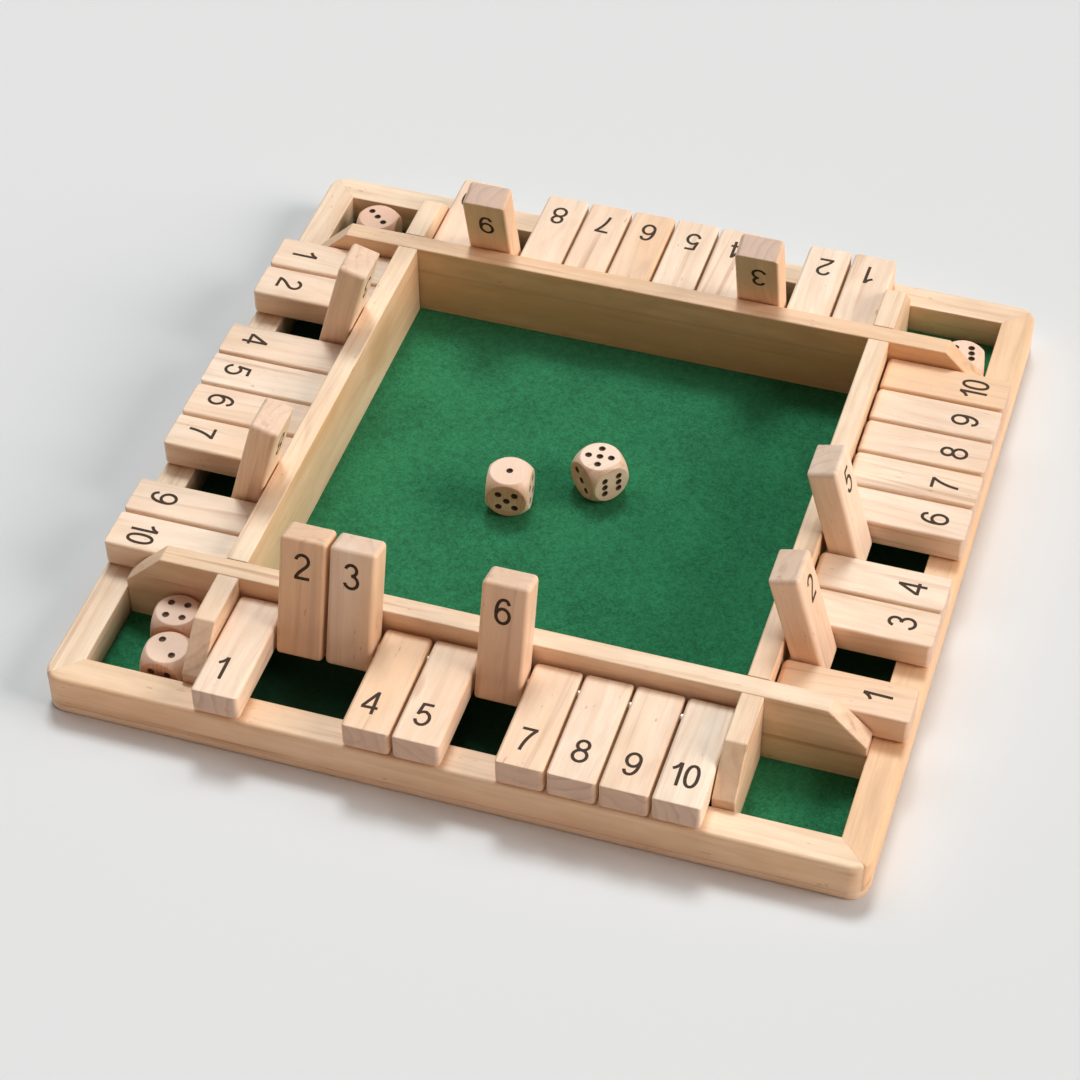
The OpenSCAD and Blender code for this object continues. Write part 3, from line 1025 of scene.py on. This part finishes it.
base_board()
felt_mat()
for side in range(4):
    rail(side)
inner_boards()
pocket_dividers()
hinge_rods()
tiles()
dice()


# ---------------------------------------------------------------- camera, floor and light
IMAGE_W = 1080
FOCAL_PIXELS, SHIFT_PIXELS = 2899.09, -1.46
CAMERA_AT = (0.22488, -0.7292, 0.74737)
# The camera's compass turn, how far it looks down, and its roll, in degrees
CAMERA_TURN, CAMERA_DOWN, CAMERA_ROLL = 17.935, 44.943, -0.576
FLOOR_HALF, FLOOR_Z = 4.0, -0.2 * MM
# The floor and the backdrop as they are seen, and the light that they give
FLOOR_SEEN, FLOOR_GIVES = (0.755, 0.778, 0.800), (0.90, 0.85, 0.78)
BACKDROP_SEEN, BACKDROP_GIVES, FILL = (0.768, 0.768, 0.768), (1.0, 0.45, 0.30), 0.045
# Name, strength, azimuth (0 in front, 90 on the right), elevation, colour and width in degrees
LAMPS = (("main", 1.58, 195, 60, (0.95, 1.0, 1.0), 16),
         ("left", 0.44, 240, 55, (0.88, 1.0, 1.05), 30),
         ("back", 0.34, 150, 55, (0.92, 1.0, 0.97), 30),
         ("right", 2.28, 96, 27, (1.0, 0.94, 0.87), 36),
         ("front", 0.22, 2, 24, (1.0, 0.62, 0.46), 40),
         ("warm_right", 0.22, 85, 15, (1.0, 0.30, 0.12), 40))
# Where the lamps' objects are; their light is the same from anywhere
LAMP_AWAY = 1.5


def camera():
    """A pinhole camera at the photograph's place, fitted to the tray's edges in it."""
    data = bpy.data.cameras.new("camera")
    data.sensor_fit, data.sensor_width = "HORIZONTAL", 36.0
    data.lens = FOCAL_PIXELS / IMAGE_W * data.sensor_width
    data.shift_x = SHIFT_PIXELS / IMAGE_W
    data.clip_start, data.clip_end = 0.05, 20
    obj = bpy.data.objects.new("camera", data)
    bpy.context.scene.collection.objects.link(obj)
    obj.matrix_world = (shift(*CAMERA_AT) @ turn(CAMERA_TURN) @ turn(90 - CAMERA_DOWN, "X")
                        @ turn(CAMERA_ROLL))
    bpy.context.scene.camera = obj


def in_view(tree):
    """1 for what is seen, also in a mirror or through glass, and 0 for what only gives light."""
    path = add(tree, "ShaderNodeLightPath").outputs
    seen = calc(tree, "MAXIMUM", path["Is Camera Ray"], path["Is Transmission Ray"])
    return calc(tree, "MAXIMUM", seen, path["Is Glossy Ray"])


def floor():
    """A plain pale floor."""
    made, tree, bsdf = material("floor")
    colour = blend_colour(tree, in_view(tree), rgb(*FLOOR_GIVES), rgb(*FLOOR_SEEN))
    wire(tree, bsdf, {"Base Color": colour, "Roughness": 1.0, "Specular IOR Level": 0.0})
    half = FLOOR_HALF
    mesh = mesh_of([(-half, -half, 0), (half, -half, 0), (half, half, 0), (-half, half, 0)],
                   [(0, 1, 2, 3)])
    mesh.materials.append(made)
    obj = bpy.data.objects.new("floor", mesh)
    obj.location.z = FLOOR_Z
    bpy.context.scene.collection.objects.link(obj)


def world():
    """Weak fill light from all round, and the grey that is seen behind."""
    made = bpy.data.worlds.new("studio")
    made.use_nodes = True
    tree = made.node_tree
    tree.nodes.clear()
    fill = add(tree, "ShaderNodeBackground", {"Color": rgb(*BACKDROP_GIVES), "Strength": FILL})
    plain = add(tree, "ShaderNodeBackground", {"Color": rgb(*BACKDROP_SEEN), "Strength": 1.0})
    mixed = add(tree, "ShaderNodeMixShader",
                {0: in_view(tree), 1: fill.outputs[0], 2: plain.outputs[0]})
    add(tree, "ShaderNodeOutputWorld", {0: mixed.outputs[0]})
    bpy.context.scene.world = made


def lamp(name, strength, azimuth, elevation, colour, width):
    """A sun that shines on the tray from a compass direction."""
    data = bpy.data.lights.new(name, "SUN")
    data.energy, data.color, data.angle = strength, colour, math.radians(width)
    obj = bpy.data.objects.new(name, data)
    bpy.context.scene.collection.objects.link(obj)
    a, e = math.radians(azimuth), math.radians(elevation)
    toward = Vector((math.sin(a) * math.cos(e), -math.cos(a) * math.cos(e), math.sin(e)))
    obj.location = toward * LAMP_AWAY
    obj.rotation_mode = "QUATERNION"
    obj.rotation_quaternion = toward.to_track_quat("Z", "Y")


camera()
floor()
world()
for settings in LAMPS:
    lamp(*settings)
bpy.context.scene.view_settings.view_transform = "Standard"
